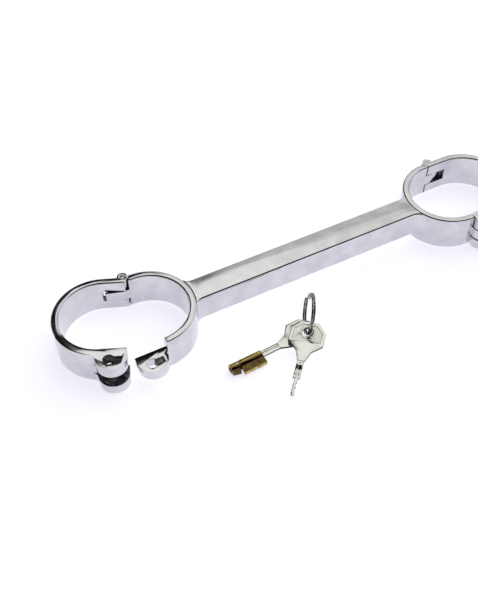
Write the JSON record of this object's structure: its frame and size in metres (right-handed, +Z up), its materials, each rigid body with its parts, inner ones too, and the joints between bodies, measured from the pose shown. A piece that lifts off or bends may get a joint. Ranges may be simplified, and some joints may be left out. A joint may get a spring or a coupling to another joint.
{
  "type": "rigid bar handcuffs",
  "caption": "Rigid-bar handcuffs: oval cuffs with hinged arms and interleaved keyhole lugs at each end of a square bar, with lock plugs and keys",
  "frame": {"origin": "centre of the bar's top face", "axes": "+X along the bar, +Y towards the cuffs' hinge side, +Z up, at right angles to the bar's top face"},
  "size_m": [0.2983, 0.1099, 0.0244],
  "materials": {
    "polished_steel": "mirror polished, rims rounded",
    "pin_steel": "ground pin ends",
    "brass": "machined and tumbled",
    "spring_steel": "drawn wire",
    "key_nickel": "nickel plated, stamped",
    "ring_steel": "plated spring wire"
  },
  "bodies": {
    "frame": {"spreader_bar": "polished_steel", "left_fixed_half": "polished_steel", "right_fixed_half": "polished_steel", "left_hinge_pin": "pin_steel", "right_hinge_pin": "pin_steel"},
    "left_arm": {"left_arm": "polished_steel", "left_clasp": "polished_steel"},
    "right_arm": {"right_arm": "polished_steel", "right_clasp": "polished_steel"},
    "lock": {"lock_case": "brass", "lock_driver_pins": "brass", "lock_springs": "spring_steel", "lock_chamber_plugs": "brass"},
    "lock_core": {"lock_core": "brass", "lock_cam": "brass", "lock_cam_pin": "pin_steel", "lock_key_pins": "brass"},
    "spare_lock": {"spare_lock_case": "brass", "spare_lock_driver_pins": "brass", "spare_lock_springs": "spring_steel", "spare_lock_chamber_plugs": "brass"},
    "spare_lock_core": {"spare_lock_core": "brass", "spare_lock_cam": "brass", "spare_lock_cam_pin": "pin_steel", "spare_lock_key_pins": "brass"},
    "key_in_lock": {"key_in_lock": "key_nickel"},
    "key_on_ring": {"key_on_ring": "key_nickel"},
    "split_ring": {"split_ring": "ring_steel"}
  },
  "joints": [
    {"name": "left_arm_hinge", "type": "hinge", "parent": "frame", "child": "left_arm", "pos_m": [-0.105, 0.0276, 0], "axis": [0, 0, 1], "range_deg": [-77.5, 22.5]},
    {"name": "right_arm_hinge", "type": "hinge", "parent": "frame", "child": "right_arm", "pos_m": [0.105, 0.0276, 0], "axis": [0, 0, 1], "range_deg": [0, 100]},
    {"name": "lock_lift", "type": "slide", "parent": "frame", "child": "lock", "axis": [0, 0, 1], "range_m": [0, 0.05]},
    {"name": "lock_core_turn", "type": "hinge", "parent": "lock", "child": "lock_core", "pos_m": [-0.0536, -0.04475, -0.01985], "axis": [-0.9981, -0.061, 0], "range_deg": [0, 90]},
    {"name": "key_withdraw", "type": "slide", "parent": "lock_core", "child": "key_in_lock", "axis": [0.9981, 0.061, 0], "range_m": [0, 0.014]},
    {"name": "ring_spin", "type": "hinge", "parent": "key_in_lock", "child": "split_ring", "pos_m": [-0.0196, -0.0384, -0.01035], "axis": [0.8862, -0.4419, -0.1392], "range_deg": [-180, 180]},
    {"name": "key_swivel", "type": "hinge", "parent": "key_in_lock", "child": "key_on_ring", "pos_m": [-0.02429, -0.04587, -0.0165], "axis": [-0.0929, -0.1018, 0.9905], "range_deg": [-20, 25]},
    {"name": "spare_lock_lift", "type": "slide", "parent": "frame", "child": "spare_lock", "axis": [0, 0, 1], "range_m": [0, 0.05]},
    {"name": "spare_lock_core_turn", "type": "hinge", "parent": "spare_lock", "child": "spare_lock_core", "pos_m": [0.122, -0.058, -0.01985], "axis": [-0.9511, -0.309, 0], "range_deg": [0, 90]}
  ]
}
